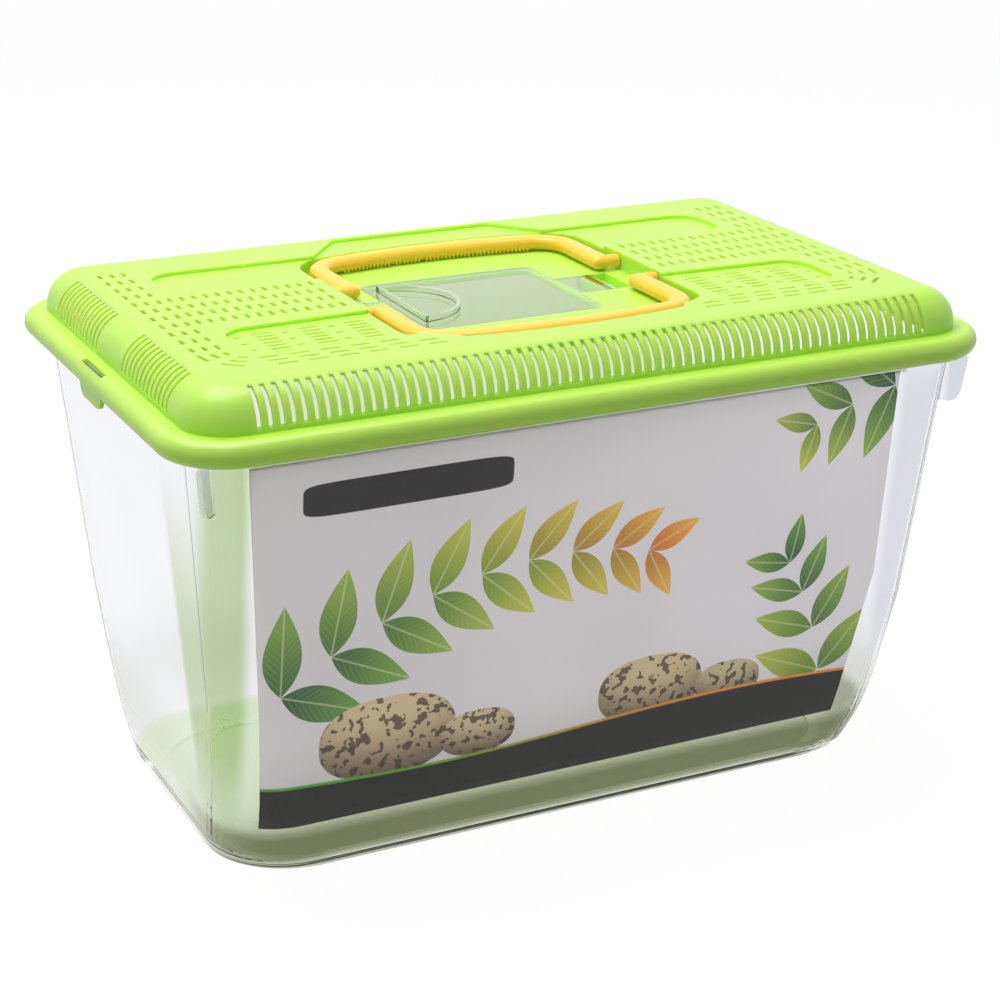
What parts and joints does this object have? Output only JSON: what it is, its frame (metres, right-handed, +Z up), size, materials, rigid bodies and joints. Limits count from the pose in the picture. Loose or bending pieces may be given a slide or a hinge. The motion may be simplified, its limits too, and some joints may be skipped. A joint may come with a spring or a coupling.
{
  "type": "plastic pet keeper",
  "caption": "Clear tapered tub for small animals with a vented lift-off lid, hinged feeding door and two folding carrying handles.",
  "frame": {"origin": "on the table, under the middle of the lid's outline", "axes": "+X along the length with the feeding door's hinge on the +X side, -Y the front with the card, +Z up"},
  "size_m": [0.36, 0.23, 0.218],
  "materials": {
    "clear_tub": "clear, faintly milky",
    "card": "matt print",
    "lime_lid": "satin, slightly translucent",
    "clear_door": "clear",
    "orange_handle": "gloss"
  },
  "bodies": {
    "tub_body": {"tub": "clear_tub", "printed_card": "card"},
    "lid_body": {"lid": "lime_lid"},
    "door_body": {"feeding_door": "clear_door"},
    "rear_handle_body": {"rear_handle": "orange_handle"},
    "front_handle_body": {"front_handle": "orange_handle"}
  },
  "joints": [
    {"name": "lid_lift", "type": "slide", "parent": "tub_body", "child": "lid_body", "axis": [0, 0, 1], "range_m": [0, 0.08]},
    {"name": "feeding_door", "type": "hinge", "parent": "lid_body", "child": "door_body", "pos_m": [0.052, 0, 0.2081], "axis": [0, 1, 0], "range_deg": [0, 135]},
    {"name": "rear_handle", "type": "hinge", "parent": "lid_body", "child": "rear_handle_body", "pos_m": [0, 0.017, 0.2139], "axis": [1, 0, 0], "range_deg": [0, 105]},
    {"name": "front_handle", "type": "hinge", "parent": "lid_body", "child": "front_handle_body", "pos_m": [0, -0.017, 0.2139], "axis": [-1, 0, 0], "range_deg": [0, 105]}
  ]
}
